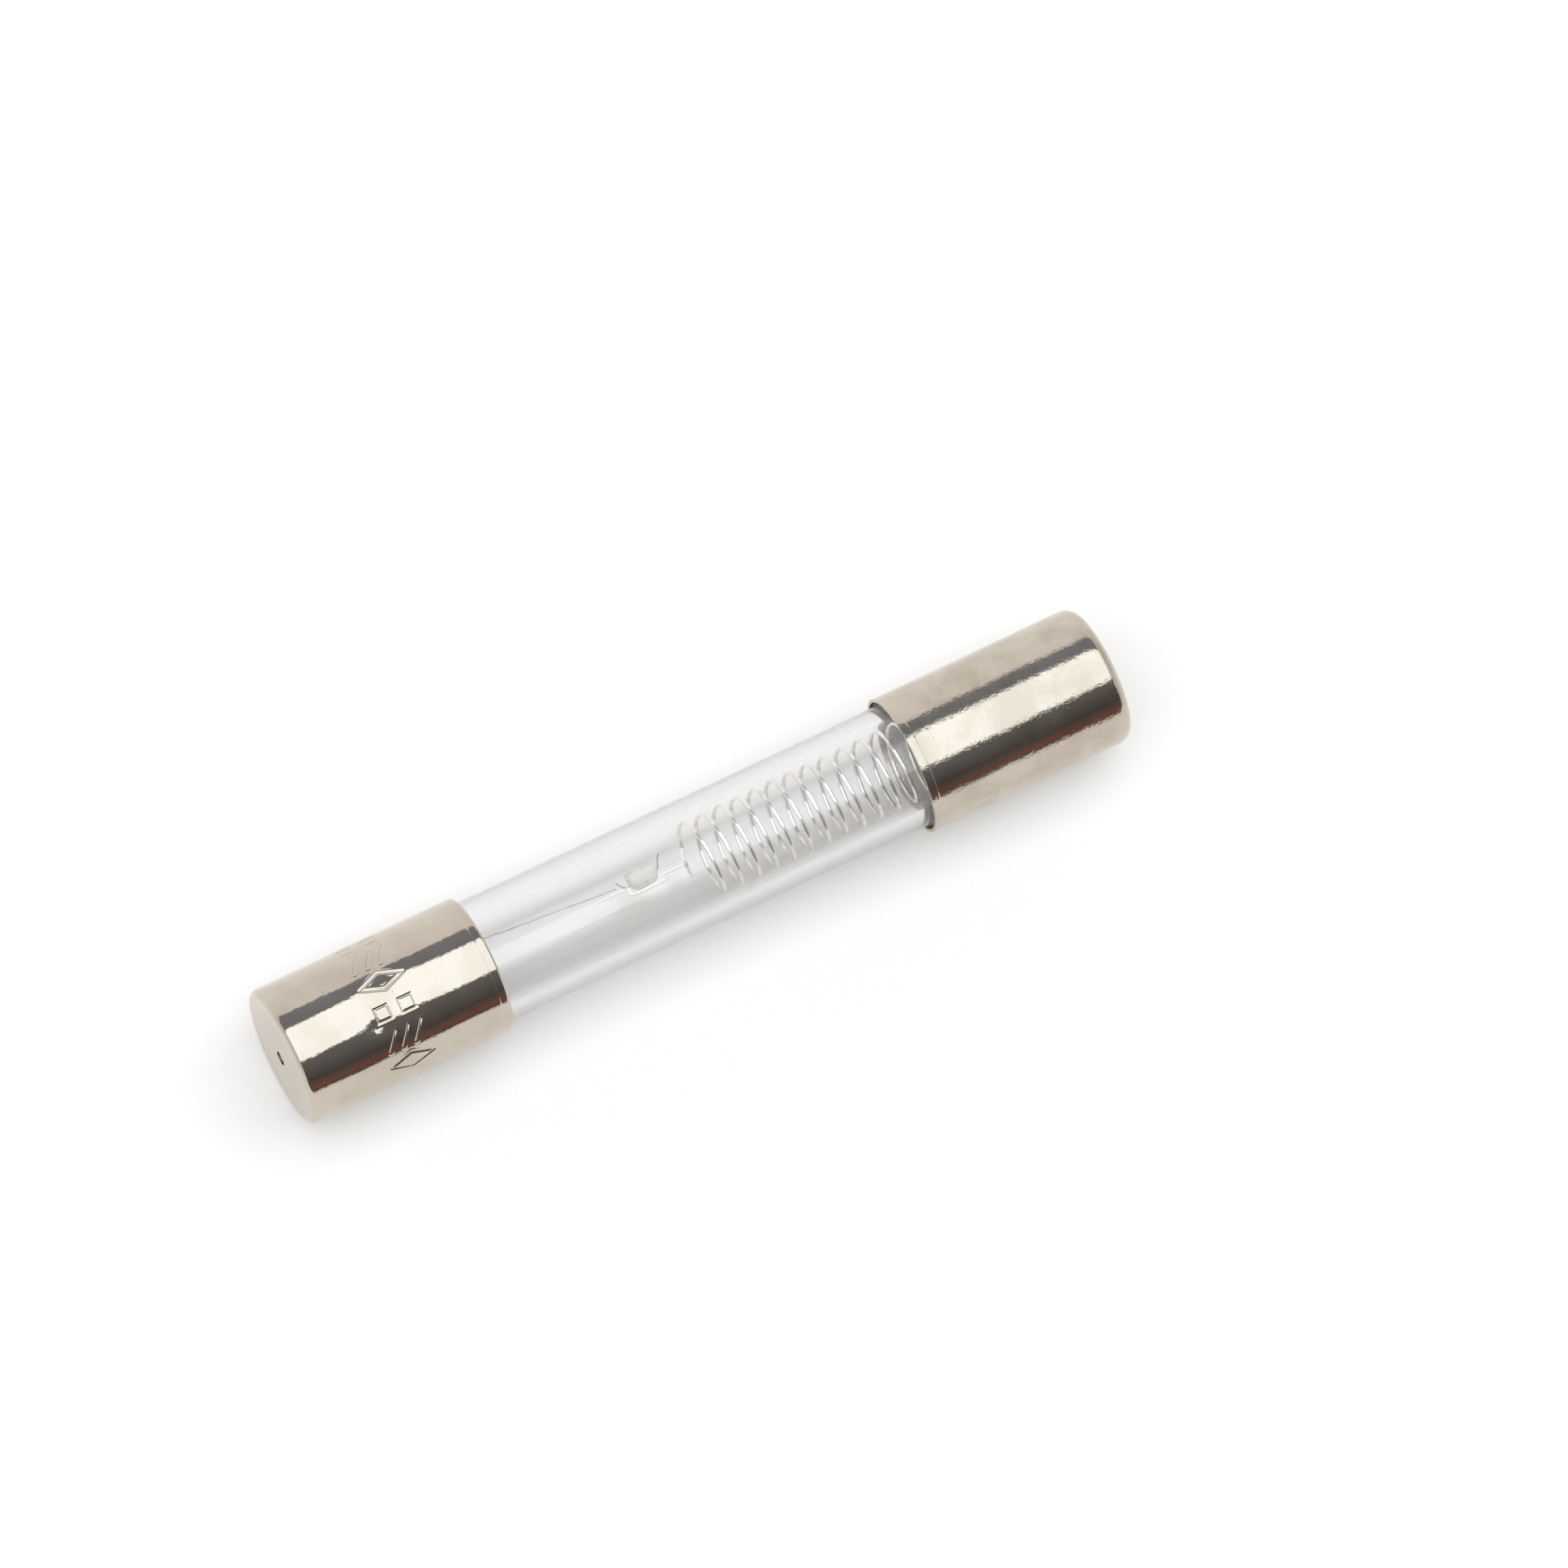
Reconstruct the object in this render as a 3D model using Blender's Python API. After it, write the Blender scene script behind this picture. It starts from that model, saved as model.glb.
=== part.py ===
"""Cartridge fuse of the 6.3 x 40 mm size, the spring-loaded high-voltage kind.

The fuse lies on its side along X, with the origin on its axis, halfway along it.  The front end
is at -X and holds the fine fuse wire; the rear end is at +X and anchors the pulling spring.
Between them a small ceramic bead on wire leads, the link, is drawn towards +X by the spring as
soon as the fuse wire melts.
"""

import math

import bmesh
import bpy
from mathutils import Vector

MM = 0.001

# Driving dimensions of the standard cartridge.
FUSE_LENGTH = 40.0 * MM
CAP_RADIUS = 3.175 * MM
FACETS = 40  # flats round the turned pieces, a multiple of four so that one faces straight down

# End caps: thin pressed cups, drilled in the middle of their closed ends.
CAP_WALL = 0.22 * MM
CAP_FLOOR = 0.25 * MM
FRONT_CORNER = 0.28 * MM
REAR_CORNER = 0.60 * MM
CAP_INNER_CORNER = 0.35 * MM
CAP_HOLE_RADIUS = 0.33 * MM
CORNER_STEPS = 5
FRONT_CAP_LENGTH = 9.70 * MM
FRONT_RIM_BAND = 0.40 * MM
FRONT_RIM_RADIUS = 2.88 * MM
REAR_CAP_LENGTH = 9.80 * MM
REAR_LIP_BAND = 0.30 * MM
REAR_LIP_RADIUS = 3.00 * MM
CREASE_DEPTH = 0.05 * MM
CREASE_WIDTH = 0.08 * MM

# Glass tube.
GLASS_RADIUS = 2.83 * MM
BORE_RADIUS = 2.10 * MM
GLASS_LENGTH = 39.0 * MM
GLASS_EDGE = 0.12 * MM

# Cement rings between the tube and the caps, and the clearance kept between touching pieces.
FRONT_CEMENT_LENGTH = 7.4 * MM
REAR_CEMENT_LENGTH = 8.1 * MM
CEMENT_INSET = 1.0 * MM
CLEARANCE = 0.03 * MM

# Solder pools inside the closed ends of the caps.
POOL_RADIUS = 1.95 * MM
POOL_DEPTH = 0.95 * MM
POOL_NUB_RADIUS = 0.29 * MM
POOL_NUB_HEIGHT = 0.18 * MM
POOL_FACETS = 24

# Spring: a stretched right-handed coil of round wire.
SPRING_WIRE = 0.19 * MM
SPRING_RADIUS = 1.74 * MM
SPRING_CENTRE_Y = 0.10 * MM
SPRING_START_X = 0.20 * MM
SPRING_PITCH = 0.853 * MM
SPRING_TURNS = 20.5
SPRING_STEPS_PER_TURN = 12

# Link: the bead with the wires and the strap that it carries.
BEAD_CENTRE = Vector((-2.28, 0.49, 0.0)) * MM
BEAD_HALF_SIZE = Vector((0.78, 0.52, 0.48)) * MM
LEAD_WIRE = 0.12 * MM
FRONT_LEAD_Y = 0.26 * MM
FRONT_LEAD_X = (-4.52 * MM, -3.20 * MM)
REAR_LEAD_Y = 0.16 * MM
REAR_LEAD_X = (-1.40 * MM, -0.20 * MM)
STRAP_X = (-3.16 * MM, -1.44 * MM)
STRAP_Y = (-0.17 * MM, -0.06 * MM)
STRAP_END_Y = (0.32 * MM, 0.22 * MM)
STRAP_END_THICKNESS = 0.05 * MM
STRAP_WIDTH = 0.30 * MM
JOINT_LENGTH = 0.20 * MM
JOINT_RADIUS = 0.15 * MM
JOINT_END_RADIUS = 0.10 * MM
JOINT_FACETS = 12

# Tie wire round the bead: its path from one cut end to the other, in millimetres.
TIE_PATH = (
    (-3.52, 0.64, 0.14), (-3.40, 0.55, 0.08), (-3.30, 0.46, -0.04), (-3.16, 0.42, -0.28),
    (-2.90, 0.44, -0.56), (-2.30, 0.47, -0.60), (-1.72, 0.50, -0.52), (-1.44, 0.58, -0.26),
    (-1.42, 0.70, -0.04), (-1.35, 0.86, 0.08), (-1.22, 1.06, 0.18),
)

# Fuse wire, from the front solder pool to the link.
FUSE_WIRE = 0.07 * MM
FUSE_WIRE_START = Vector((-18.88, 1.72, 0.0)) * MM
FUSE_WIRE_END = Vector((-3.62, 0.45, 0.0)) * MM
FUSE_WIRE_WAVE = 0.03 * MM
FUSE_WIRE_WAVES = 3.5
FUSE_WIRE_STEPS = 24

NICKEL = ("nickel", (0.78, 0.77, 0.74), 0.16, 1.0)
TUBE_GLASS = ("tube_glass", (0.93, 0.95, 0.95), 0.03, 0.0)
CEMENT = ("cement", (0.80, 0.76, 0.66), 0.75, 0.0)
SOLDER = ("solder", (0.66, 0.66, 0.67), 0.32, 1.0)
SPRING_STEEL = ("spring_steel", (0.62, 0.60, 0.57), 0.22, 1.0)
FUSE_METAL = ("fuse_metal", (0.30, 0.29, 0.28), 0.40, 1.0)
BEAD_CERAMIC = ("bead_ceramic", (0.86, 0.83, 0.76), 0.45, 0.0)
TINNED_WIRE = ("tinned_wire", (0.86, 0.85, 0.82), 0.20, 1.0)


def principled(look):
    """Return the Principled material called for by (name, colour, roughness, metallic)."""
    name, colour, roughness, metallic = look
    material = bpy.data.materials.get(name)
    if material is None:
        material = bpy.data.materials.new(name)
        material.use_nodes = True
        shader = material.node_tree.nodes["Principled BSDF"]
        shader.inputs["Base Color"].default_value = (*colour, 1.0)
        shader.inputs["Roughness"].default_value = roughness
        shader.inputs["Metallic"].default_value = metallic
    return material


def add_mesh(name, bm, look, sharp_angle=40.0):
    """Turn a bmesh into a named, smooth-shaded object whose faces point outwards."""
    bmesh.ops.remove_doubles(bm, verts=bm.verts, dist=0.0001 * MM)
    bmesh.ops.recalc_face_normals(bm, faces=bm.faces)
    mesh = bpy.data.meshes.new(name)
    bm.to_mesh(mesh)
    bm.free()
    mesh.shade_smooth()
    mesh.set_sharp_from_angle(angle=math.radians(sharp_angle))
    mesh.materials.append(principled(look))
    thing = bpy.data.objects.new(name, mesh)
    bpy.context.collection.objects.link(thing)
    return thing


def turned(name, outline, look, facets=FACETS, centre_y=0.0, closed=True):
    """Spin an outline of (x, radius) points about an axis along X.

    Radii are measured to the flats, and one flat faces straight down.  An open outline starts
    and ends on the axis.
    """
    bm = bmesh.new()
    half_step = math.pi / facets
    corner = 1.0 / math.cos(half_step)
    ring = []
    for x, radius in outline:
        y = centre_y + radius * corner * math.sin(half_step)
        z = -radius * corner * math.cos(half_step)
        ring.append(bm.verts.new((x, y, z)))
    pairs = list(zip(ring, ring[1:]))
    if closed:
        pairs.append((ring[-1], ring[0]))
    edges = [bm.edges.new(pair) for pair in pairs]
    bmesh.ops.spin(
        bm, geom=ring + edges, cent=(0.0, centre_y, 0.0), axis=(1.0, 0.0, 0.0),
        angle=math.tau, steps=facets, use_merge=True,
    )
    return add_mesh(name, bm, look)


def wire(name, points, diameter, look, rounding=1):
    """Round wire through the points, with closed ends."""
    curve = bpy.data.curves.new(name, "CURVE")
    curve.dimensions = "3D"
    curve.bevel_depth = diameter / 2
    curve.bevel_resolution = rounding
    curve.use_fill_caps = True
    spline = curve.splines.new("POLY")
    spline.points.add(len(points) - 1)
    for slot, point in zip(spline.points, points):
        slot.co = (*point, 1.0)
    curve.materials.append(principled(look))
    thing = bpy.data.objects.new(name, curve)
    bpy.context.collection.objects.link(thing)
    return thing


def smooth_path(corners, steps):
    """Points along a Catmull-Rom curve through the corners."""
    padded = [2 * corners[0] - corners[1], *corners, 2 * corners[-1] - corners[-2]]
    points = []
    for a, b, c, d in zip(padded, padded[1:], padded[2:], padded[3:]):
        for step in range(steps):
            t = step / steps
            bend = (2 * a - 5 * b + 4 * c - d) * t**2 + (3 * b - a - 3 * c + d) * t**3
            points.append(b + (c - a) * (t / 2) + bend / 2)
    points.append(corners[-1].copy())
    return points


def quarter_arc(centre_x, centre_r, radius, start, end):
    """Outline points of an arc in the (x, radius) plane, from one angle to another."""
    points = []
    for step in range(CORNER_STEPS + 1):
        angle = math.radians(start + (end - start) * step / CORNER_STEPS)
        points.append((centre_x + radius * math.cos(angle), centre_r + radius * math.sin(angle)))
    return points


def cap_outline(length, corner, mouth):
    """Outline of a cap whose closed face is at x = 0 and whose mouth is at x = length."""
    inner_radius = CAP_RADIUS - CAP_WALL
    outside = [(0.0, CAP_HOLE_RADIUS)]
    outside += quarter_arc(corner, CAP_RADIUS - corner, corner, 180, 90)
    inside = quarter_arc(
        CAP_FLOOR + CAP_INNER_CORNER, inner_radius - CAP_INNER_CORNER, CAP_INNER_CORNER, 90, 180
    )
    inside.append((CAP_FLOOR, CAP_HOLE_RADIUS))
    return outside + [(length + x, radius) for x, radius in mouth] + inside


def crease(band):
    """The pressed line that sets the mouth's band off from the wall of a cap."""
    return [
        (-band - CREASE_WIDTH / 2, CAP_RADIUS),
        (-band, CAP_RADIUS - CREASE_DEPTH),
        (-band + CREASE_WIDTH / 2, CAP_RADIUS - CREASE_DEPTH / 5),
    ]


def end_caps():
    """Two cups: the front one's mouth is rolled in to the glass, the rear one's stays open."""
    inner_radius = CAP_RADIUS - CAP_WALL
    rolled_mouth = crease(FRONT_RIM_BAND) + [
        (-0.12 * MM, CAP_RADIUS - 0.02 * MM),
        (-0.03 * MM, CAP_RADIUS - 0.09 * MM),
        (0.0, CAP_RADIUS - 0.19 * MM),
        (-0.05 * MM, FRONT_RIM_RADIUS),
        (-FRONT_RIM_BAND, FRONT_RIM_RADIUS),
        (-FRONT_RIM_BAND - 0.10 * MM, inner_radius),
    ]
    open_mouth = crease(REAR_LIP_BAND) + [
        (-0.03 * MM, CAP_RADIUS),
        (0.0, CAP_RADIUS - 0.03 * MM),
        (0.0, REAR_LIP_RADIUS),
        (-REAR_LIP_BAND, REAR_LIP_RADIUS),
        (-REAR_LIP_BAND - 0.20 * MM, inner_radius),
    ]
    half = FUSE_LENGTH / 2
    front = cap_outline(FRONT_CAP_LENGTH, FRONT_CORNER, rolled_mouth)
    rear = cap_outline(REAR_CAP_LENGTH, REAR_CORNER, open_mouth)
    turned("front_cap", [(x - half, radius) for x, radius in front], NICKEL)
    turned("rear_cap", [(half - x, radius) for x, radius in rear], NICKEL)


def glass_tube():
    """Clear tube with fire-polished ends, reaching almost to the floors of both caps."""
    half = GLASS_LENGTH / 2
    edge = GLASS_EDGE
    outline = [
        (-half, BORE_RADIUS + edge), (-half, GLASS_RADIUS - edge),
        (-half + edge, GLASS_RADIUS), (half - edge, GLASS_RADIUS),
        (half, GLASS_RADIUS - edge), (half, BORE_RADIUS + edge),
        (half - edge, BORE_RADIUS), (-half + edge, BORE_RADIUS),
    ]
    turned("glass_tube", outline, TUBE_GLASS)


def cement_rings():
    """Thin rings of cement that hold the caps on the tube."""
    inner = GLASS_RADIUS + CLEARANCE
    outer = CAP_RADIUS - CAP_WALL - CLEARANCE
    end = GLASS_LENGTH / 2 - CEMENT_INSET
    for name, side, length in (
        ("front_cement", -1, FRONT_CEMENT_LENGTH), ("rear_cement", 1, REAR_CEMENT_LENGTH)
    ):
        near = side * end
        far = side * (end - length)
        turned(name, [(near, inner), (near, outer), (far, outer), (far, inner)], CEMENT)


def solder_pools():
    """Solder run into both caps, filling their holes: it holds the fuse wire and the spring."""
    seat = FUSE_LENGTH / 2 - CAP_FLOOR - 2 * CLEARANCE
    nub = seat + POOL_NUB_HEIGHT
    outline = [
        (nub, 0.0), (nub, POOL_NUB_RADIUS), (seat, POOL_NUB_RADIUS),
        (seat, POOL_RADIUS), (seat - 0.5 * POOL_DEPTH, POOL_RADIUS),
        (seat - 0.78 * POOL_DEPTH, 0.87 * POOL_RADIUS), (seat - POOL_DEPTH, 0.5 * POOL_RADIUS),
        (seat - POOL_DEPTH, 0.0),
    ]
    for name, side in (("front_solder", -1), ("rear_solder", 1)):
        points = [(side * x, radius) for x, radius in outline]
        turned(name, points, SOLDER, facets=POOL_FACETS, closed=False)


def on_coil(turn, radius=SPRING_RADIUS):
    """Point of the coil after a number of turns; turn 0 is at the coil's side away from -Y."""
    angle = math.tau * turn
    return Vector((
        SPRING_START_X + SPRING_PITCH * turn,
        SPRING_CENTRE_Y + radius * math.cos(angle),
        radius * math.sin(angle),
    ))


def spring():
    """Stretched coil: a hook at the link, and a straight tail down into the rear solder pool."""
    lead_end = Vector((REAR_LEAD_X[1], REAR_LEAD_Y, 0.0))
    hook = [
        lead_end + Vector((-0.13, -0.55, -0.10)) * MM,
        lead_end + Vector((-0.10, -0.17, -0.28)) * MM,
        lead_end + Vector((-0.08, 0.42, -0.62)) * MM,
        on_coil(-0.12, 0.93 * SPRING_RADIUS),
        on_coil(0.0),
    ]
    points = smooth_path(hook, 3)[:-1]
    steps = int(SPRING_TURNS * SPRING_STEPS_PER_TURN)
    points += [on_coil(step / SPRING_STEPS_PER_TURN) for step in range(steps + 1)]
    pool_face = FUSE_LENGTH / 2 - CAP_FLOOR - POOL_DEPTH
    tail_side = on_coil(SPRING_TURNS + 0.22, 0.80 * SPRING_RADIUS)
    tail_end = Vector((pool_face - 0.06 * MM, tail_side.y, 0.6 * tail_side.z))
    points += smooth_path([points[-1], tail_side, tail_end], 4)[1:]
    wire("spring", points, SPRING_WIRE, SPRING_STEEL)


def fuse_wire():
    """Very thin, slightly wavy element that holds the spring stretched."""
    run = FUSE_WIRE_END - FUSE_WIRE_START
    points = []
    for step in range(FUSE_WIRE_STEPS + 1):
        t = step / FUSE_WIRE_STEPS
        wave = FUSE_WIRE_WAVE * math.sin(math.tau * FUSE_WIRE_WAVES * t)
        points.append(FUSE_WIRE_START + run * t + Vector((0.0, wave, wave / 2)))
    wire("fuse_wire", points, FUSE_WIRE, FUSE_METAL)


def bead():
    """Lumpy ceramic bead, flatter at its ends than an egg."""
    bm = bmesh.new()
    bmesh.ops.create_uvsphere(bm, u_segments=16, v_segments=10, radius=1.0)
    for vert in bm.verts:
        direction = vert.co.copy()
        fullness = 1.0 / (abs(direction.x) ** 3 + (direction.y**2 + direction.z**2) ** 1.5) ** (1 / 3)
        lump = 0.95 + 0.05 * math.sin(4.0 * direction.x + 1.0) * math.cos(3.0 * direction.z)
        scaled = direction * fullness * lump
        vert.co = BEAD_CENTRE + Vector(a * b for a, b in zip(scaled, BEAD_HALF_SIZE))
    add_mesh("bead", bm, BEAD_CERAMIC, sharp_angle=60.0)


def bead_strap():
    """Flat metal strip under the bead, with its two ends turned up beside it."""
    left, right = STRAP_X
    low, top = STRAP_Y
    left_end, right_end = STRAP_END_Y
    thick = STRAP_END_THICKNESS
    outline = [
        (left, low), (right, low), (right, right_end), (right - thick, right_end),
        (right - thick, top), (left + thick, top), (left + thick, left_end), (left, left_end),
    ]
    bm = bmesh.new()
    face = bm.faces.new([bm.verts.new((x, y, -STRAP_WIDTH / 2)) for x, y in outline])
    extruded = bmesh.ops.extrude_face_region(bm, geom=[face])["geom"]
    verts = [item for item in extruded if isinstance(item, bmesh.types.BMVert)]
    bmesh.ops.translate(bm, verts=verts, vec=(0.0, 0.0, STRAP_WIDTH))
    add_mesh("bead_strap", bm, TINNED_WIRE)


def leads():
    """Straight wires at both ends of the bead, and the solder that joins one to the spring."""
    for name, ends, y in (
        ("front_lead", FRONT_LEAD_X, FRONT_LEAD_Y), ("rear_lead", REAR_LEAD_X, REAR_LEAD_Y)
    ):
        points = [Vector((x, y, 0.0)) for x in ends]
        wire(name, points, LEAD_WIRE, TINNED_WIRE)
    bore = LEAD_WIRE / 2 + CLEARANCE
    end = REAR_LEAD_X[1] - CLEARANCE
    start = end - JOINT_LENGTH
    middle = (start + end) / 2
    ring = [
        (start, bore), (start, JOINT_END_RADIUS), (middle, JOINT_RADIUS),
        (end, JOINT_END_RADIUS), (end, bore),
    ]
    turned("hook_solder", ring, SOLDER, facets=JOINT_FACETS, centre_y=REAR_LEAD_Y)


def binding_wire():
    """Fine wire tied round the bead's ends; its two cut ends stand out like whiskers."""
    points = smooth_path([Vector(corner) * MM for corner in TIE_PATH], 3)
    wire("binding_wire", points, FUSE_WIRE, FUSE_METAL)


def build():
    """Empty the scene and make every piece of the fuse."""
    for thing in list(bpy.data.objects):
        bpy.data.objects.remove(thing)
    end_caps()
    glass_tube()
    cement_rings()
    solder_pools()
    spring()
    fuse_wire()
    bead()
    bead_strap()
    leads()
    binding_wire()


build()
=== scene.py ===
"""Looks of the 6.3 x 40 mm glass cartridge fuse: fine meshes, materials, light and camera.

The fuse lies along X with its origin in the middle.  Lengths inside the mesh functions are in
millimetres, and add_mesh turns them into metres.
"""
import math

import bmesh
import bpy
import numpy as np
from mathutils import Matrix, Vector, noise

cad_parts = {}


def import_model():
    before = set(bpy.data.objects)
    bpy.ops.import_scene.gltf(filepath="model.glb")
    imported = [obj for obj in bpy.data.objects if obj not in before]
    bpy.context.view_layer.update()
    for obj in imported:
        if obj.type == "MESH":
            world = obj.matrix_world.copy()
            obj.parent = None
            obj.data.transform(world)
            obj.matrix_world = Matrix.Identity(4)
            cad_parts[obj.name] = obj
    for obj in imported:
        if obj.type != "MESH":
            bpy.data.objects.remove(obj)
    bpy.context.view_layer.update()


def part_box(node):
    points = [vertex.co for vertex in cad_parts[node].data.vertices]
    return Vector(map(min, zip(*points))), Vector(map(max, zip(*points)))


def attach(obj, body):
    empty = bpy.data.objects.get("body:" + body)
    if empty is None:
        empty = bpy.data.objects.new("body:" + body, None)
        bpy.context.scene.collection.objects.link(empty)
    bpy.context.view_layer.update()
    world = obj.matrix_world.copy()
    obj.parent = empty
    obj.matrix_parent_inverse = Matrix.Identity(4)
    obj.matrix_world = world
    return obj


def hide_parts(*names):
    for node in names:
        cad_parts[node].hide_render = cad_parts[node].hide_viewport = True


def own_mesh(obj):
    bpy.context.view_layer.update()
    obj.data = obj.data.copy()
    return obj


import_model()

MM = 0.001

# Caps, in millimetres.  The wall's relief is cut into the CAD radius and never rises above it.
CAP_WALL = 0.22
CAP_FLOOR = 0.25
CAP_HOLE_RADIUS = 0.33
HOLE_BEVEL = 0.03
INNER_CORNER = 0.35
FRONT_CORNER = 0.28
REAR_CORNER = 0.60
FRONT_RIM_BAND = 0.40
REAR_LIP_BAND = 0.42
REAR_LIP_THICKNESS = 0.17
GLASS_GAP = 0.03
CREASE_DEPTH = 0.020
CREASE_HALF_WIDTH = 0.035
SIDE_INSET = 0.016

# Spacing of the points along a cap's outline: where it is stamped, near its mouth, and elsewhere.
STAMPED_SPACING = 0.03
BAND_SPACING = 0.025
PLAIN_SPACING = 0.25
FRONT_SPACING = 0.5
BORE_SPACING = 0.8

# Shallow dents in the front cap: distance from its closed face, angle, size and depth.
DENTS = (
    (3.75, -0.40, 0.45, 0.055),
    (6.2, -0.50, 0.8, 0.020),
    (2.2, -0.40, 0.9, 0.014),
)

# Stamped ring of plain marks round the front cap.
MARK_KINDS = ("lozenge", "bars", "squares", "rails")
MARK_COUNT = 15
MARK_OFFSET = 0.36
MARK_DISTANCE = 4.85
MARK_HALF_LENGTH = 1.05
MARK_HALF_HEIGHT = 0.43
MARK_STROKE = 0.075
MARK_DEPTH = 0.035

# Glass tube.
GLASS_WALL = 0.73
GLASS_EDGE = 0.14

# Solder pools: the seat on the cap's floor, and the plug that fills the cap's hole.
SEAT_DEPTH = 0.18
SEAT_RADIUS = 0.6
PLUG_LENGTH = 0.16
PLUG_RADIUS = 0.27

# Spring.
SPRING_WIRE = 0.19
SPRING_PITCH = 0.853
SPRING_TURNS = 20.5
SPRING_FIRST_TURN = 0.20
SPRING_STEPS = 56

# Other wires, and the strip under the bead.
LEAD_RADIUS = 0.0585
FUSE_WIRE_RADIUS = 0.020
CAD_FUSE_WIRE_RADIUS = 0.035
TIE_RADIUS = 0.030
STRAP_THICKNESS = 0.10

# Rounded ends of a wire: radii of the closing rings, and how far the ends swell out.
WIRE_SIDES = 14
END_SHARES = (0.35, 0.8)
END_SWELL = 0.6

BODY = "cartridge"
LINK = "link"


# ---------------------------------------------------------------- mesh helpers

def mm_box(node):
    """Lowest and highest corners of a CAD node, in millimetres."""
    low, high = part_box(node)
    return np.array(low) / MM, np.array(high) / MM


def add_object(name, data):
    """Object in the scene that holds a mesh or a camera."""
    thing = bpy.data.objects.new(name, data)
    bpy.context.scene.collection.objects.link(thing)
    return thing


def add_mesh(name, points, faces, uvs=None, sharp_angle=35.0):
    """Object from points in millimetres; its faces are turned to point outwards."""
    mesh = bpy.data.meshes.new(name)
    mesh.from_pydata((np.asarray(points) * MM).tolist(), [], faces)
    if uvs is not None:
        layer = mesh.uv_layers.new(name="Surface")
        layer.data.foreach_set("uv", np.asarray(uvs, np.float32).ravel())
    bm = bmesh.new()
    bm.from_mesh(mesh)
    bmesh.ops.recalc_face_normals(bm, faces=bm.faces)
    bm.to_mesh(mesh)
    bm.free()
    mesh.shade_smooth()
    mesh.set_sharp_from_angle(angle=math.radians(sharp_angle))
    return add_object(name, mesh)


def skin(name, rings, along, round_trip=False, sharp_angle=35.0):
    """Closed mesh through rings of equally many points; along is each ring's place for its UVs."""
    rings = np.asarray(rings, float)
    rows, cols = rings.shape[:2]
    faces = []
    uvs = []
    for i in range(rows if round_trip else rows - 1):
        k = (i + 1) % rows
        u0, u1 = along[i], along[k]
        for j in range(cols):
            n = (j + 1) % cols
            faces.append((i * cols + j, i * cols + n, k * cols + n, k * cols + j))
            v0, v1 = j / cols, (j + 1) / cols
            uvs += [(u0, v0), (u0, v1), (u1, v1), (u1, v0)]
    if not round_trip:
        faces.append(tuple(range(cols)))
        faces.append(tuple(range((rows - 1) * cols, rows * cols)))
        uvs += [(0.0, 0.0)] * (2 * cols)
    return add_mesh(name, rings.reshape(-1, 3), faces, uvs, sharp_angle)


def frames_along(path):
    """Unit tangents and two normals that turn as little as possible along a path."""
    tangents = np.gradient(path, axis=0)
    tangents /= np.linalg.norm(tangents, axis=1)[:, None]
    helper = np.array([0.0, 0.0, 1.0]) if abs(tangents[0][2]) < 0.9 else np.array([0.0, 1.0, 0.0])
    first = np.cross(tangents[0], helper)
    normals = [first / np.linalg.norm(first)]
    for tangent in tangents[1:]:
        normal = normals[-1] - tangent * (normals[-1] @ tangent)
        normals.append(normal / np.linalg.norm(normal))
    normals = np.array(normals)
    return tangents, normals, np.cross(tangents, normals)


def wire(name, path, radii, sides=WIRE_SIDES):
    """Round wire along a path, with softly rounded ends."""
    path = np.asarray(path, float)
    radii = np.broadcast_to(np.asarray(radii, float), len(path)).copy()
    tangents, normals, binormals = frames_along(path)
    turn = np.linspace(0.0, math.tau, sides, endpoint=False)
    rings = []

    def ring(i, radius, push):
        middle = path[i] + tangents[i] * push
        spread = np.outer(np.cos(turn), normals[i]) + np.outer(np.sin(turn), binormals[i])
        rings.append(middle + spread * radius)

    for share in END_SHARES:
        ring(0, radii[0] * share, -radii[0] * END_SWELL * math.sqrt(1 - share**2))
    for i, radius in enumerate(radii):
        ring(i, radius, 0.0)
    for share in reversed(END_SHARES):
        ring(-1, radii[-1] * share, radii[-1] * END_SWELL * math.sqrt(1 - share**2))
    steps = np.linalg.norm(np.diff(path, axis=0), axis=1)
    along = np.concatenate([[0.0, 0.0, 0.0], np.cumsum(steps)])
    along = np.concatenate([along, [along[-1], along[-1]]])
    return skin(name, rings, along, sharp_angle=60.0)


def smooth_path(corners, steps):
    """Points along a Catmull-Rom curve through the corners."""
    corners = [np.asarray(corner, float) for corner in corners]
    padded = [2 * corners[0] - corners[1], *corners, 2 * corners[-1] - corners[-2]]
    points = []
    for a, b, c, d in zip(padded, padded[1:], padded[2:], padded[3:]):
        for t in np.arange(steps) / steps:
            bend = (2 * a - 5 * b + 4 * c - d) * t**2 + (3 * b - a - 3 * c + d) * t**3
            points.append(b + (c - a) * (t / 2) + bend / 2)
    points.append(corners[-1])
    return np.array(points)


def arc(centre_x, centre_r, radius, start, end, steps=12):
    """Outline points of an arc in the (x, radius) plane."""
    angles = np.radians(np.linspace(start, end, steps + 1))
    return [(centre_x + radius * math.cos(a), centre_r + radius * math.sin(a)) for a in angles]


def run(start, end, radius, spacing):
    """Outline points of a straight wall between two places along the axis."""
    count = max(1, round(abs(end - start) / spacing))
    return [(x, radius) for x in np.linspace(start, end, count + 1)]


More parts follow.
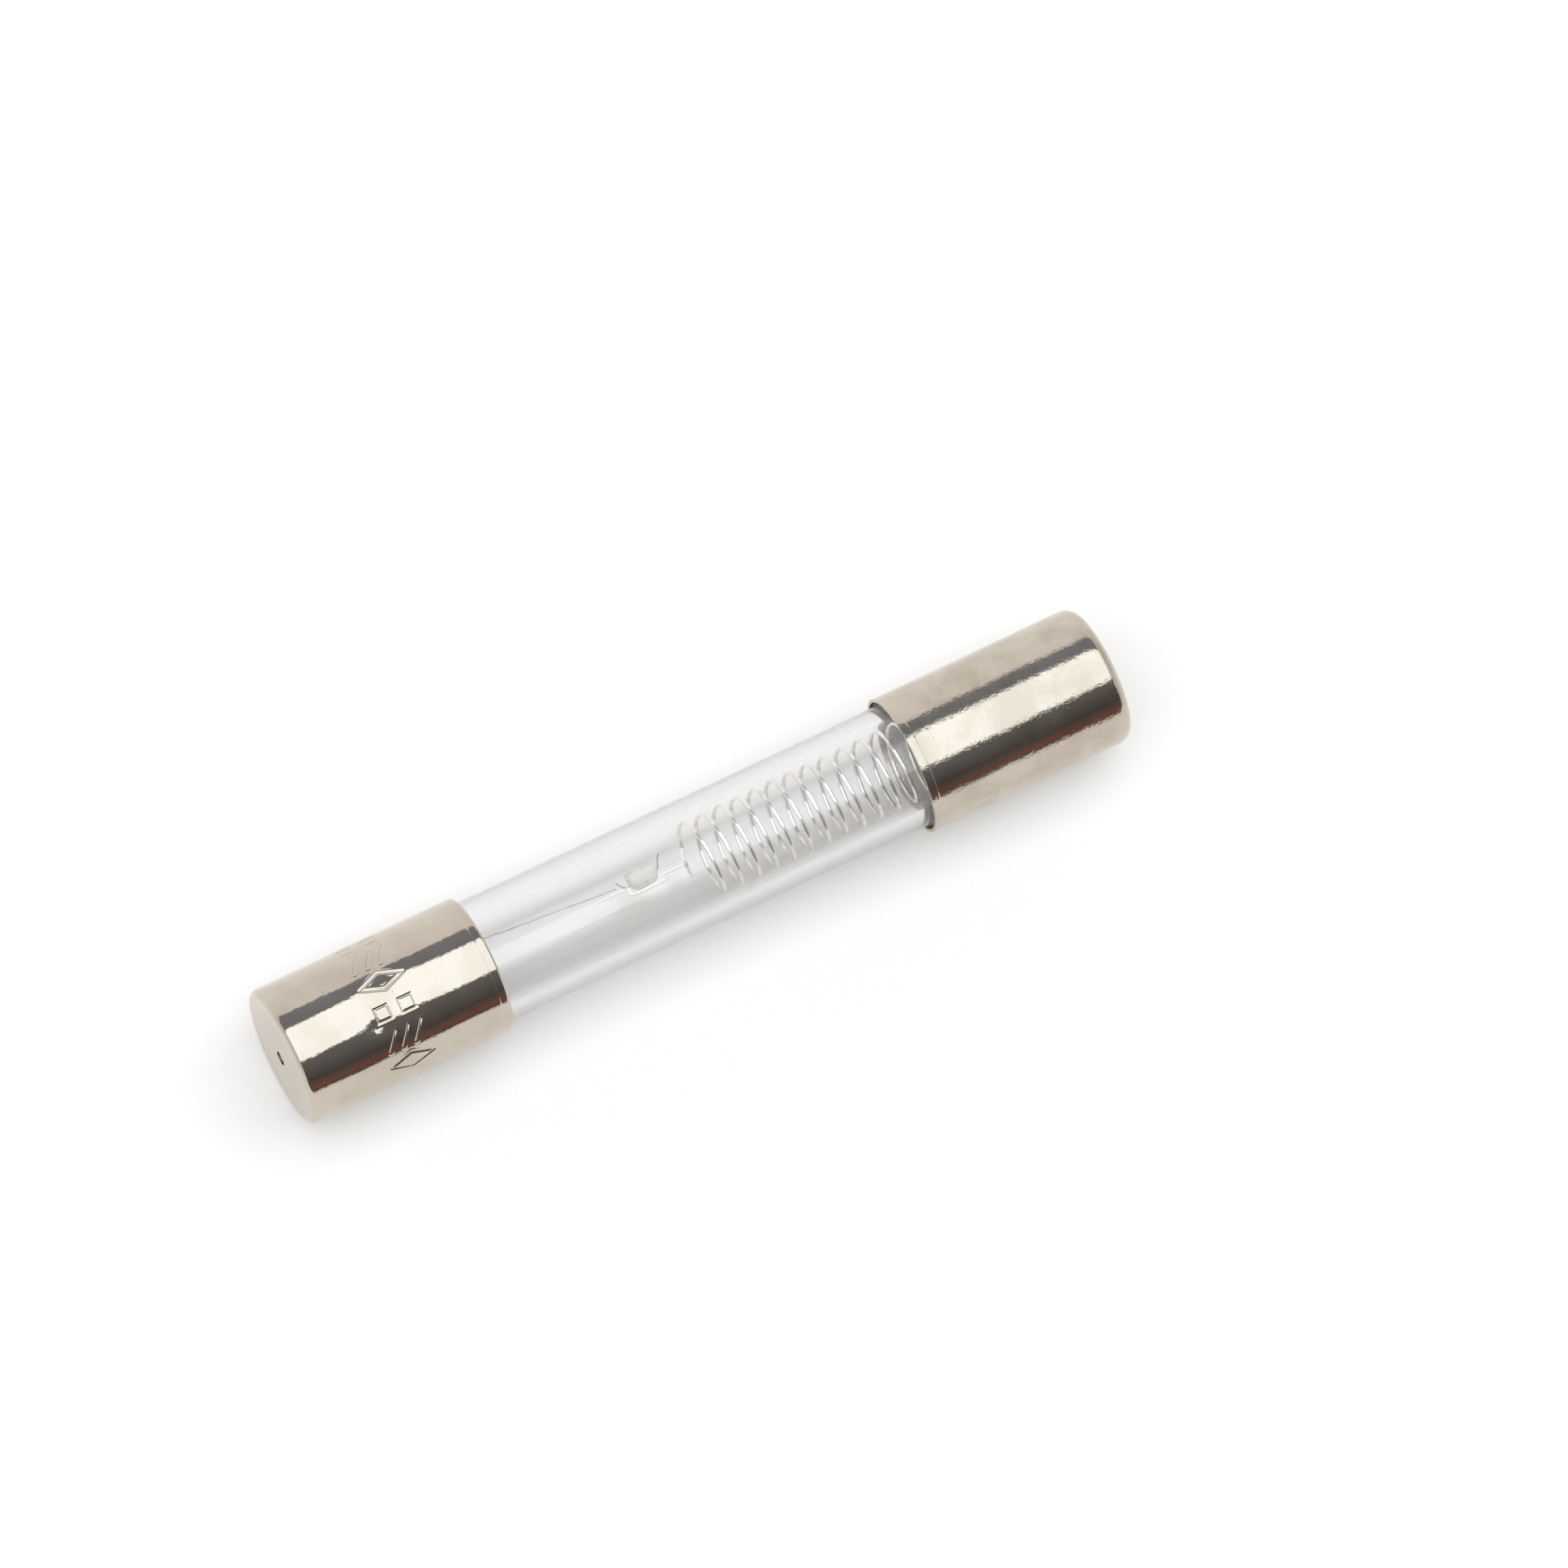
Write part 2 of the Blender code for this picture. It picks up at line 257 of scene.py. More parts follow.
def revolve(name, outline, cols, shape=None, round_trip=True):
    """Turned body about X.  shape(x, angle, radius) may move points; angle 0 is +Z, 90 deg is +Y."""
    outline = np.asarray(outline, float)
    angles = np.arange(cols) * math.tau / cols
    x, angle = np.meshgrid(outline[:, 0], angles, indexing="ij")
    radius = np.repeat(outline[:, 1][:, None], cols, axis=1)
    if shape is not None:
        x, radius = shape(x, angle, radius)
    rings = np.stack([x, radius * np.sin(angle), radius * np.cos(angle)], axis=2)
    steps = np.linalg.norm(np.diff(outline, axis=0), axis=1)
    along = np.concatenate([[0.0], np.cumsum(steps)])
    return skin(name, rings, along, round_trip)


# ---------------------------------------------------------------- material helpers

class Look:
    """A Principled material with a few shorthand calls for its procedural nodes."""

    def __init__(self, name, colour, roughness, metallic=0.0, **sockets):
        self.material = bpy.data.materials.new(name)
        self.material.use_nodes = True
        self.nodes = self.material.node_tree.nodes
        self.links = self.material.node_tree.links
        self.shader = self.nodes["Principled BSDF"]
        self.shader.inputs["Base Color"].default_value = (*colour, 1.0)
        self.shader.inputs["Roughness"].default_value = roughness
        self.shader.inputs["Metallic"].default_value = metallic
        for socket, value in sockets.items():
            self.shader.inputs[socket.replace("_", " ")].default_value = value

    def coordinates(self, scale, output="Object"):
        """Coordinates in millimetres, stretched by scale."""
        source = self.nodes.new("ShaderNodeTexCoord")
        mapping = self.nodes.new("ShaderNodeMapping")
        factor = 1.0 / MM if output == "Object" else 1.0
        mapping.inputs["Scale"].default_value = [value * factor for value in scale]
        self.links.new(source.outputs[output], mapping.inputs["Vector"])
        return mapping.outputs["Vector"]

    def noise(self, scale, detail=4.0, roughness=0.55, output="Object"):
        """Noise with about scale features per millimetre; scale is one number or one per axis."""
        scale = scale if isinstance(scale, tuple) else (scale,) * 3
        node = self.nodes.new("ShaderNodeTexNoise")
        node.inputs["Scale"].default_value = 1.0
        node.inputs["Detail"].default_value = detail
        node.inputs["Roughness"].default_value = roughness
        self.links.new(self.coordinates(scale, output), node.inputs["Vector"])
        return node.outputs["Fac"]

    def pits(self, scale, level):
        """Small irregular specks, rarer the higher the level: 1 inside a speck and 0 outside."""
        fine = self.noise(scale, 3.0, 0.6)
        return self.ramp(fine, level, level + 0.025)

    def distance(self, axes):
        """Distance from the middle of the fuse along the chosen axes, in millimetres."""
        node = self.nodes.new("ShaderNodeVectorMath")
        node.operation = "LENGTH"
        self.links.new(self.coordinates(axes), node.inputs[0])
        return node.outputs["Value"]

    def ramp(self, source, low, high, to_low=0.0, to_high=1.0):
        """Smooth remapping of a value."""
        node = self.nodes.new("ShaderNodeMapRange")
        node.interpolation_type = "SMOOTHSTEP"
        for socket, value in zip(("From Min", "From Max", "To Min", "To Max"),
                                 (low, high, to_low, to_high)):
            node.inputs[socket].default_value = value
        self.links.new(source, node.inputs["Value"])
        return node.outputs["Result"]

    def times(self, a, b):
        """Product of two values, of which the second may be a plain number."""
        node = self.nodes.new("ShaderNodeMath")
        node.operation = "MULTIPLY"
        self.links.new(a, node.inputs[0])
        if isinstance(b, float):
            node.inputs[1].default_value = b
        else:
            self.links.new(b, node.inputs[1])
        return node.outputs["Value"]

    def blend(self, factor, a, b):
        """Colour mix; a and b are colours or sockets."""
        node = self.nodes.new("ShaderNodeMix")
        node.data_type = "RGBA"
        self.links.new(factor, node.inputs["Factor"])
        colour_sockets = [socket for socket in node.inputs if socket.type == "RGBA"]
        for socket, value in zip(colour_sockets, (a, b)):
            if isinstance(value, tuple):
                socket.default_value = (*value, 1.0)
            else:
                self.links.new(value, socket)
        return next(socket for socket in node.outputs if socket.type == "RGBA")

    def colour(self, source):
        self.links.new(source, self.shader.inputs["Base Color"])

    def roughness(self, source):
        self.links.new(source, self.shader.inputs["Roughness"])

    def bump(self, source, height, previous=None):
        """Normals bumped by a height in millimetres, on top of an earlier bump."""
        node = self.nodes.new("ShaderNodeBump")
        node.inputs["Strength"].default_value = 1.0
        node.inputs["Distance"].default_value = height * MM
        self.links.new(source, node.inputs["Height"])
        if previous is not None:
            self.links.new(previous, node.inputs["Normal"])
        return node.outputs["Normal"]

    def normal(self, source):
        self.links.new(source, self.shader.inputs["Normal"])


def nickel(name, mottle, stain):
    """Bright nickel plate: faint stains, fine turning lines, a mottled skin and a few specks."""
    look = Look(name, (0.565, 0.50, 0.42), 0.1, metallic=1.0)
    patches = look.ramp(look.noise(0.55, 3.0), 0.38, 0.66)
    clean = look.blend(look.times(patches, stain), (0.58, 0.515, 0.43), (0.49, 0.425, 0.345))
    specks = look.pits(3.2, 0.735)
    look.colour(look.blend(look.times(specks, 0.7), clean, (0.17, 0.13, 0.10)))
    skin_noise = look.noise(7.0, 5.0, 0.65)
    look.roughness(look.ramp(skin_noise, 0.3, 0.75, 0.04, 0.04 + 0.08 * mottle))
    turning = look.noise((26.0, 1.2, 1.2), 3.0)
    grain = look.noise(5.0, 3.0, 0.5)
    pressed = look.bump(turning, 0.0006)
    mottled = look.bump(grain, 0.0085 * mottle, pressed)
    pebbled = look.bump(look.noise(13.0, 2.0, 0.5), 0.0035 * mottle, mottled)
    look.normal(look.bump(specks, -0.012, pebbled))
    return look.material


def clear_glass():
    """Drawn glass with the faintest waviness, a faint painted glow, and painted shade that darkens its
    outer surface on its flanks.
    """
    # The faint emission is a painted glow: the glass gives off a little light of its own, though it is
    # no lamp.
    look = Look("tube_glass", (0.95, 0.95, 0.95), 0.0, IOR=1.5, Transmission_Weight=1.0,
                Emission_Color=(1.0, 1.0, 0.99, 1.0), Emission_Strength=0.033)
    # Painted shade: the outer surface turns darker towards the tube's flanks.
    painted_flank_shade = look.ramp(look.distance((0.0, 1.0, 0.0)), 0.9, 2.2)
    outside = look.ramp(look.distance((0.0, 1.0, 1.0)), 2.3, 2.6)
    look.colour(look.blend(look.times(painted_flank_shade, outside), (0.98, 0.98, 0.975), (0.67, 0.67, 0.665)))
    look.normal(look.bump(look.noise((0.25, 1.5, 1.5), 1.0), 0.002))
    return look.material


def metal_wire(name, bright, dull, rough, streak):
    """Drawn wire with lengthwise die lines and slight tarnish."""
    look = Look(name, bright, rough, metallic=1.0)
    lines = look.noise((0.6, 24.0, 1.0), 3.0, output="UV")
    tarnish = look.ramp(look.noise(2.2, 3.0), 0.42, 0.68)
    look.colour(look.blend(tarnish, bright, dull))
    look.roughness(look.ramp(lines, 0.3, 0.7, 0.7 * rough, 1.4 * rough))
    look.normal(look.bump(lines, streak))
    return look.material


def solder(name):
    """Tin solder with a dull, finely crystalline skin."""
    look = Look(name, (0.70, 0.69, 0.67), 0.28, metallic=1.0)
    skin_noise = look.noise(6.0, 6.0, 0.6)
    look.colour(look.blend(look.ramp(skin_noise, 0.35, 0.7), (0.74, 0.73, 0.71), (0.50, 0.49, 0.47)))
    look.roughness(look.ramp(skin_noise, 0.3, 0.7, 0.18, 0.45))
    look.normal(look.bump(skin_noise, 0.012))
    return look.material


def bead_ceramic():
    """Waxy, translucent cream ceramic with a few brownish stains."""
    look = Look(
        "bead_ceramic", (0.95, 0.91, 0.83), 0.35,
        Subsurface_Weight=0.3, Subsurface_Scale=0.3 * MM, Subsurface_Radius=(1.0, 0.9, 0.75),
    )
    cloud = look.ramp(look.noise(1.6, 4.0), 0.36, 0.68)
    body = look.blend(cloud, (0.98, 0.95, 0.88), (0.90, 0.84, 0.73))
    stains = look.times(look.ramp(look.noise(3.4, 5.0), 0.60, 0.72), 0.4)
    look.colour(look.blend(stains, body, (0.50, 0.42, 0.33)))
    grain = look.noise(9.0, 5.0)
    look.roughness(look.ramp(grain, 0.3, 0.7, 0.25, 0.45))
    look.normal(look.bump(grain, 0.012))
    return look.material


def cement():
    """Matt, sandy off-white cement."""
    look = Look("cement", (0.78, 0.74, 0.64), 0.8)
    grain = look.noise(8.0, 6.0)
    look.colour(look.blend(look.ramp(grain, 0.3, 0.7), (0.82, 0.78, 0.69), (0.62, 0.57, 0.47)))
    look.roughness(look.ramp(grain, 0.3, 0.7, 0.7, 0.95))
    look.normal(look.bump(grain, 0.02))
    return look.material


# ---------------------------------------------------------------- end caps

def warp(x, angle):
    """Slight unevenness of a thin pressed wall, in millimetres; never above zero."""
    waves = (
        0.0035 * np.sin(2 * angle + 0.5 * x + 1.0)
        + 0.0022 * np.sin(5 * angle - 0.7 * x + 2.2)
        + 0.0014 * np.sin(9 * angle + 1.9 * x)
    )
    return waves - SIDE_INSET


def turn_from(angle, middle):
    """Angle measured from a middle one, between half a turn back and half a turn on."""
    return (angle - middle + math.pi) % math.tau - math.pi


def stroke_distance(a, b, ends):
    """Distance of points (a, b) from the straight stroke between two ends."""
    (a0, b0), (a1, b1) = ends
    da, db = a1 - a0, b1 - b0
    t = np.clip(((a - a0) * da + (b - b0) * db) / (da**2 + db**2), 0.0, 1.0)
    return np.hypot(a - a0 - t * da, b - b0 - t * db)


def mark_distance(kind, a, b):
    """Distance from the strokes of one plain mark: lozenge, twin squares, slanted bars or rails."""
    long, high = MARK_HALF_LENGTH, MARK_HALF_HEIGHT
    if kind == "lozenge":
        corners = [(-long, 0.0), (0.0, high), (long, 0.0), (0.0, -high)]
        sides = zip(corners, corners[1:] + corners[:1])
        return np.min([stroke_distance(a, b, side) for side in sides], axis=0)
    if kind == "squares":
        side = 0.72 * high
        centres = (-0.55 * long, 0.55 * long)
        reach = [np.maximum(np.abs(a - c), np.abs(b)) for c in centres]
        return np.min([np.abs(r - side) for r in reach], axis=0)
    if kind == "bars":
        offsets = (-0.62, 0.0, 0.62)
        bars = [((o - 0.25, -high), (o + 0.25, high)) for o in offsets]
        return np.min([stroke_distance(a, b, bar) for bar in bars], axis=0)
    rails = [((-long, s * 0.75 * high), (long, s * 0.75 * high)) for s in (-1, 1)]
    return np.min([stroke_distance(a, b, rail) for rail in rails], axis=0)


def stamped(x, angle, radius):
    """Depth of the ring of marks at points of the front cap's wall."""
    centre_x = mm_box("front_cap")[0][0] + MARK_DISTANCE
    depth = np.zeros_like(x)
    for index in range(MARK_COUNT):
        around = turn_from(angle, math.tau * (index + MARK_OFFSET) / MARK_COUNT) * radius
        distance = mark_distance(MARK_KINDS[index % len(MARK_KINDS)], x - centre_x, around)
        cut = np.clip(1.0 - distance / MARK_STROKE, 0.0, 1.0)
        ridge = np.clip(1.0 - np.abs(distance / MARK_STROKE - 1.5), 0.0, 1.0)
        depth += MARK_DEPTH * cut**2 * (3 - 2 * cut) - 0.2 * MARK_DEPTH * ridge
    return depth


def dent(x, angle, radius, at_x, at_angle, size, depth):
    """Depth of a round, shallow dent."""
    around = turn_from(angle, at_angle) * radius
    return depth * np.exp(-((x - at_x) ** 2 + around**2) / size**2)


def crease(distance):
    """Depth of the pressed line at a distance from its middle."""
    return CREASE_DEPTH * np.exp(-((distance / CREASE_HALF_WIDTH) ** 2))


def outer_share(r, radius):
    """1 at a cap's outer radius, falling to 0 inside its wall, so that the bore stays plain."""
    return np.clip((r - (radius - CAP_WALL)) / CAP_WALL * 1.6 - 0.6, 0.0, 1.0)


def cap_outline(radius, length, corner, mouth, band, fine):
    """Outline of a cup, its closed face at 0 and its mouth at length; fine is its dense stretch."""
    inner = radius - CAP_WALL
    outline = [(0.0, r) for r in np.linspace(CAP_HOLE_RADIUS, radius - corner, 14)[:-1]]
    outline += arc(corner, radius - corner, corner, 180, 90)
    if fine:
        outline += run(corner, fine[0], radius, FRONT_SPACING)[1:-1]
        outline += run(fine[0], fine[1], radius, STAMPED_SPACING)
        outline += run(fine[1], length - 2 * band, radius, FRONT_SPACING)[1:-1]
    else:
        outline += run(corner, length - 2 * band, radius, PLAIN_SPACING)[1:-1]
    outline += run(length - 2 * band, length - mouth[0][0], radius, BAND_SPACING)[:-1]
    outline += [(length - x, radius - drop) for x, drop in mouth]
    outline += run(length - band - 0.2, CAP_FLOOR + INNER_CORNER, inner, BORE_SPACING)
    outline += arc(CAP_FLOOR + INNER_CORNER, inner - INNER_CORNER, INNER_CORNER, 90, 180, 6)[1:]
    outline += [
        (CAP_FLOOR, CAP_HOLE_RADIUS + HOLE_BEVEL), (CAP_FLOOR - HOLE_BEVEL, CAP_HOLE_RADIUS),
        (HOLE_BEVEL, CAP_HOLE_RADIUS),
    ]
    return outline


def front_cap():
    """Cup with a stamped ring of marks and its mouth rolled in against the glass."""
    low, high = mm_box("front_cap")
    radius, length = high[2], high[0] - low[0]
    rolled = radius - mm_box("glass_tube")[1][2] - GLASS_GAP
    mouth = [
        (0.16, 0.0), (0.12, 0.006), (0.085, 0.02), (0.055, 0.04), (0.03, 0.07), (0.012, 0.105),
        (0.003, 0.145), (0.0, 0.185), (0.01, 0.22), (0.04, 0.25), (0.09, rolled),
        (FRONT_RIM_BAND, rolled),
    ]
    reach = MARK_HALF_LENGTH + 2.2 * MARK_STROKE
    fine = (MARK_DISTANCE - reach, MARK_DISTANCE + reach)
    outline = cap_outline(radius, length, FRONT_CORNER, mouth, FRONT_RIM_BAND, fine)
    crease_x = high[0] - FRONT_RIM_BAND

    def shape(x, angle, r):
        x = x + low[0]
        change = warp(x, angle) - stamped(x, angle, r) - crease(x - crease_x)
        for distance, at_angle, size, depth in DENTS:
            change -= dent(x, angle, r, low[0] + distance, at_angle, size, depth)
        return x, r + np.minimum(change, 0.0) * outer_share(r, radius)

    return revolve("front_cap_detail", outline, cols=720, shape=shape)


def rear_cap():
    """Cup with a thin open lip that stands a little off the glass."""
    low, high = mm_box("rear_cap")
    radius, length = high[2], high[0] - low[0]
    lip = REAR_LIP_THICKNESS
    mouth = [
        (0.035, 0.0), (0.012, 0.008), (0.0, 0.03), (0.0, lip - 0.03), (0.012, lip - 0.008),
        (0.035, lip), (REAR_LIP_BAND, lip),
    ]
    outline = cap_outline(radius, length, REAR_CORNER, mouth, REAR_LIP_BAND, None)
    crease_x = low[0] + REAR_LIP_BAND

    def shape(x, angle, r):
        x = high[0] - x
        flare = 0.012 * np.clip(1 - (x - low[0]) / REAR_LIP_BAND, 0.0, 1.0)
        change = warp(-x, angle + 1.0) + flare - crease(x - crease_x)
        return x, r + np.minimum(change, 0.0) * outer_share(r, radius)

    return revolve("rear_cap_detail", outline, cols=480, shape=shape)


# ---------------------------------------------------------------- glass, cement, solder

def glass_tube():
    """Clear tube with fire-polished ends, very slightly out of round."""
    low, high = mm_box("glass_tube")
    outer, half = high[2], high[0]
    bore, edge = outer - GLASS_WALL, GLASS_EDGE
    outline = run(-half + edge, half - edge, outer, 1.0)
    outline += arc(half - edge, outer - edge, edge, 90, 0, 5)[1:]
    outline += arc(half - edge, bore + edge, edge, 0, -90, 5)
    outline += run(half - edge, -half + edge, bore, 1.0)[1:]
    outline += arc(-half + edge, bore + edge, edge, -90, -180, 5)[1:]
    outline += arc(-half + edge, outer - edge, edge, 180, 90, 5)[:-1]

    def shape(x, angle, r):
        return x, r - 0.002 + 0.0015 * np.sin(3 * angle + 0.12 * x)

    return revolve("glass_tube_detail", outline, cols=288, shape=shape)


def cement_ring(node):
    """Thin ring of cement with ragged ends."""
    low, high = mm_box(node)
    outer = high[2] - 0.005
    inner = mm_box("glass_tube")[1][2] + 0.015
    start, end = low[0] + 0.1, high[0] - 0.1
    outline = run(start, end, outer, 0.4) + run(end, start, inner, 0.4)

    def shape(x, angle, r):
        middle = (low[0] + high[0]) / 2
        ragged = 1 + 0.04 * np.sin(7 * angle) * np.sin(3 * angle + 1)
        return middle + (x - middle) * ragged * 0.97, r

    return revolve(node + "_detail", outline, cols=96, shape=shape)


def solder_pool(node):
    """Domed pool of solder with a shallow plug in the cap's hole."""
    low, high = mm_box(node)
    side = 1.0 if high[0] > 0 else -1.0
    back, face = (high[0], low[0]) if side > 0 else (low[0], high[0])
    seat = back - side * SEAT_DEPTH
    depth = abs(seat - face)
    radius = high[2]
    dome = [(seat - side * depth * math.sin(t), radius * math.cos(t) ** 0.6)
            for t in np.linspace(0.25, 0.49 * math.pi, 14)]
    plug = [(seat + side * PLUG_LENGTH * s, PLUG_RADIUS * math.sqrt(1 - s**3))
            for s in np.linspace(0.98, 0.0, 6)]
    outline = plug + [(seat, SEAT_RADIUS), (seat, 0.97 * radius)] + dome

    def shape(x, angle, r):
        ripple = 0.02 * np.sin(3 * angle + 2.0 * r) * np.clip(r / radius, 0, 1)
        return x + ripple * (np.abs(x - seat) > 0.3 * depth), r

    return revolve(node + "_detail", outline, cols=64, shape=shape, round_trip=False)


# ---------------------------------------------------------------- spring and wires

def spring_path():
    """Centre line of the coil, from the hook at the link to the tail in the rear solder."""
    low, high = mm_box("spring")
    radius = (high[2] - low[2]) / 2 - SPRING_WIRE / 2
    centre_y = high[1] - SPRING_WIRE / 2 - radius
    lead = mm_box("rear_lead")
    lead_end = np.array([lead[1][0], (lead[0][1] + lead[1][1]) / 2, 0.0])

    def on_coil(turn, r=radius):
        angle = math.tau * turn
        return np.array([
            SPRING_FIRST_TURN + SPRING_PITCH * turn,
            centre_y + r * math.cos(angle), r * math.sin(angle),
        ])

    hook = [
        lead_end + np.array([-0.15, -0.60, -0.02]),
        lead_end + np.array([-0.12, -0.20, -0.13]),
        lead_end + np.array([-0.06, 0.10, -0.22]),
        lead_end + np.array([-0.02, 0.45, -0.52]),
        on_coil(-0.14, 0.90 * radius),
        on_coil(-0.06, 0.985 * radius),
        on_coil(0.0),
    ]
    start = smooth_path(hook, 12)[:-1]
    turns = np.arange(int(SPRING_TURNS * SPRING_STEPS) + 1) / SPRING_STEPS
    coil = np.array([on_coil(turn) for turn in turns])
    side = on_coil(SPRING_TURNS + 0.22, 0.80 * radius)
    tail = smooth_path([coil[-1], side, (high[0] + 0.25, side[1], 0.6 * side[2])], 14)[1:]
    return np.concatenate([start, coil, tail])


def spring():
    """Stretched coil of round wire, with its hook and its tail."""
    return wire("spring_detail", spring_path(), SPRING_WIRE / 2)


def fuse_wire():
    """Fine element with small kinks."""
    low, high = mm_box("fuse_wire")
    start = np.array([low[0] - 0.08, high[1] - CAD_FUSE_WIRE_RADIUS, 0.0])
    end = np.array([high[0] + 0.05, low[1] + CAD_FUSE_WIRE_RADIUS, 0.0])
    t = np.linspace(0.0, 1.0, 260)
    path = start + np.outer(t, end - start)
    fade = np.sin(math.pi * np.clip(t, 0, 1)) ** 0.5
    path[:, 1] += fade * (0.020 * np.sin(31 * t + 1) + 0.009 * np.sin(83 * t) + 0.005 * np.sin(211 * t))
    path[:, 2] += fade * (0.022 * np.sin(27 * t) + 0.008 * np.sin(97 * t + 2))
    radii = FUSE_WIRE_RADIUS + 0.003 * np.sin(140 * t)
    return wire("fuse_wire_detail", path, radii, sides=10)


def lead(node, tip_bend):
    """Straight tinned lead, very slightly bent and rounded at its cut end."""
    low, high = mm_box(node)
    middle = (low[1] + high[1]) / 2
    t = np.linspace(0.0, 1.0, 50)
    x = low[0] + 0.02 + (high[0] - low[0] - 0.04) * t
    path = np.stack([x, middle + tip_bend * np.sin(math.pi * t), 0.01 * np.sin(5 * t)], axis=1)
    return wire(node + "_detail", path, LEAD_RADIUS + 0.0015 * np.sin(25 * t), sides=20)


def strap():
    """Strip along the bead's side, soft-edged, its ends turned up to meet the two leads."""
    low, high = mm_box("bead_strap")
    base = low[1] + STRAP_THICKNESS / 2 + 0.005
    left_top = high[1] - 0.02
    right_top = high[1] - 0.12
    corners = [
        (low[0] + 0.045, left_top), (low[0] + 0.05, base + 0.16), (low[0] + 0.10, base + 0.035),
        (low[0] + 0.30, base + 0.012), (low[0] + 0.80, base), (high[0] - 0.45, base + 0.010),
        (high[0] - 0.13, base + 0.020), (high[0] - 0.05, base + 0.12), (high[0] - 0.045, right_top),
    ]
    path = smooth_path([(x, y, 0.0) for x, y in corners], 12)
    tangents, _, _ = frames_along(path)
    half_width = (high[2] - low[2]) / 2 - 0.01
    section = []
    for t in np.arange(28) / 28 * math.tau:
        across = abs(math.cos(t)) ** 0.4 * math.copysign(1, math.cos(t))
        deep = abs(math.sin(t)) ** 0.5 * math.copysign(1, math.sin(t))
        section.append((across * half_width, deep * STRAP_THICKNESS / 2))
    rings = []
    for point, tangent in zip(path, tangents):
        side = np.array([-tangent[1], tangent[0], 0.0])
        slim = 1.0 - 0.45 * abs(tangent[1])
        rings.append([point + side * n * slim + np.array([0.0, 0.0, w]) for w, n in section])
    steps = np.linalg.norm(np.diff(path, axis=0), axis=1)
    return skin("bead_strap_detail", rings, np.concatenate([[0.0], np.cumsum(steps)]))


def lump(node, subdivisions, reach):
    """Rounded lump inside a node's box; reach(d) is the share of the box filled in direction d."""
    low, high = mm_box(node)
    centre, half = (low + high) / 2, (high - low) / 2
    bm = bmesh.new()
    bmesh.ops.create_icosphere(bm, subdivisions=subdivisions, radius=1.0)
    for vert in bm.verts:
        d = vert.co.normalized()
        vert.co = Vector(centre[i] + d[i] * reach(d) * half[i] for i in range(3)) * MM
    mesh = bpy.data.meshes.new(node + "_detail")
    bm.to_mesh(mesh)
    bm.free()
    mesh.shade_smooth()
    return add_object(mesh.name, mesh)


def bead():
    """Lumpy lozenge: full along its length, with dimples and a chipped shoulder."""

    def reach(d):
        full = (abs(d.x) ** 3.4 + (d.y**2 + d.z**2) ** 1.7) ** (-1 / 3.4)
        lumps = 0.10 * noise.noise(d * 1.7 + Vector((3.1, 0.4, 1.2)))
        lumps += 0.05 * noise.noise(d * 4.1) + 0.022 * noise.noise(d * 9.5)
        return full * min(1.0, 0.94 + lumps)

    return lump("bead", 6, reach)


def hook_joint():
    """Small bright fillet of solder where the spring's hook meets the rear lead."""

    def reach(d):
        return min(1.0, 0.86 + 0.22 * noise.noise(d * 1.9 + Vector((0.3, 5.0, 2.0))))

    return lump("hook_solder", 5, reach)


def binding_wire():
    """Fine tie round the bead, its cut ends standing out; its path is in shares of the CAD box."""
    low, high = mm_box("binding_wire")
    size = high - low
    shares = [
        (0.02, 0.36, 0.90), (0.06, 0.24, 0.80), (0.10, 0.12, 0.66), (0.16, 0.06, 0.38),
        (0.27, 0.08, 0.10), (0.53, 0.13, 0.05), (0.78, 0.17, 0.14), (0.89, 0.28, 0.44),
        (0.90, 0.45, 0.70), (0.93, 0.68, 0.84), (0.98, 0.95, 0.95),
    ]
    path = smooth_path([low + size * np.array(share) for share in shares], 14)
    return wire("binding_wire_detail", path, TIE_RADIUS, sides=12)


# ---------------------------------------------------------------- putting it together

def place(piece, node, body, material):
    """Give a piece its material and its body, and hide the CAD node that it stands for."""
    piece.data.materials.clear()
    piece.data.materials.append(material)
    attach(piece, body)
    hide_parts(node)
    return piece


def build_fuse():
    """Every piece, with its material and the CAD node that it stands for."""
    plate_front = nickel("nickel_front", 0.4, 0.5)
    plate_rear = nickel("nickel_rear", 1.0, 0.9)
    steel = metal_wire("spring_steel", (0.94, 0.92, 0.88), (0.80, 0.76, 0.70), 0.14, 0.001)
    tinned = metal_wire("tinned_wire", (0.98, 0.94, 0.88), (0.90, 0.85, 0.77), 0.28, 0.001)
    dark = metal_wire("fuse_metal", (0.40, 0.38, 0.36), (0.26, 0.24, 0.22), 0.42, 0.001)
    tin = solder("solder")
    place(front_cap(), "front_cap", BODY, plate_front)
    place(rear_cap(), "rear_cap", BODY, plate_rear)
    place(glass_tube(), "glass_tube", BODY, clear_glass())
    chalk = cement()
    for node in ("front_cement", "rear_cement"):
        place(cement_ring(node), node, BODY, chalk)
    for node in ("front_solder", "rear_solder"):
        place(solder_pool(node), node, BODY, tin)
    coil = place(spring(), "spring", BODY, steel)
    squash_spring(coil)
    place(fuse_wire(), "fuse_wire", BODY, dark)
    place(bead(), "bead", LINK, bead_ceramic())
    place(strap(), "bead_strap", LINK, tinned)
    place(lead("front_lead", 0.006), "front_lead", LINK, tinned)
    place(lead("rear_lead", -0.006), "rear_lead", LINK, tinned)
    place(hook_joint(), "hook_solder", LINK, tin)
    place(binding_wire(), "binding_wire", LINK, dark)


def squash_spring(coil):
    """Give the coil a mesh of its own."""
    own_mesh(coil)


# ---------------------------------------------------------------- stage, light and camera

